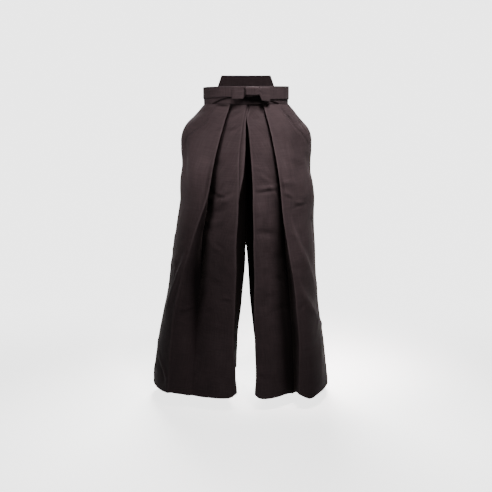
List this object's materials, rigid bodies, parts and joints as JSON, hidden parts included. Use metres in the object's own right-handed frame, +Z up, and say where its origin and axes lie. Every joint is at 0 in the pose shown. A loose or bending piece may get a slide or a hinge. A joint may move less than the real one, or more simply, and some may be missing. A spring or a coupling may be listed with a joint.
{
  "type": "hakama trousers",
  "caption": "Wide pleated wrap trousers with divided legs, open side slits, a stiff back board and long ties wound round the waist and tied in a flat bow at the front.",
  "frame": {"origin": "middle of the waist at the height of the front waistband's middle, where the wearer's waist holds the garment", "axes": "+Z up, -Y to the front, +X to the wearer's left"},
  "size_m": [0.5684, 0.369, 0.9801],
  "materials": {
    "panel_cloth": "dull black twill with a faint warm sheen",
    "tie_cloth": "dull black twill, pressed flat in several layers",
    "board_cloth": "dull black twill stretched over a stiff board"
  },
  "bodies": {
    "root": {"back_board": "board_cloth", "front_panel_right": "panel_cloth", "front_panel_left": "panel_cloth", "back_panel_right": "panel_cloth", "back_panel_left": "panel_cloth", "crotch_gusset": "panel_cloth", "front_waistband": "panel_cloth", "front_tie": "tie_cloth", "back_tie_right": "tie_cloth", "back_tie_left": "tie_cloth", "bow_bar": "tie_cloth", "bow_knot": "tie_cloth"}
  },
  "joints": []
}
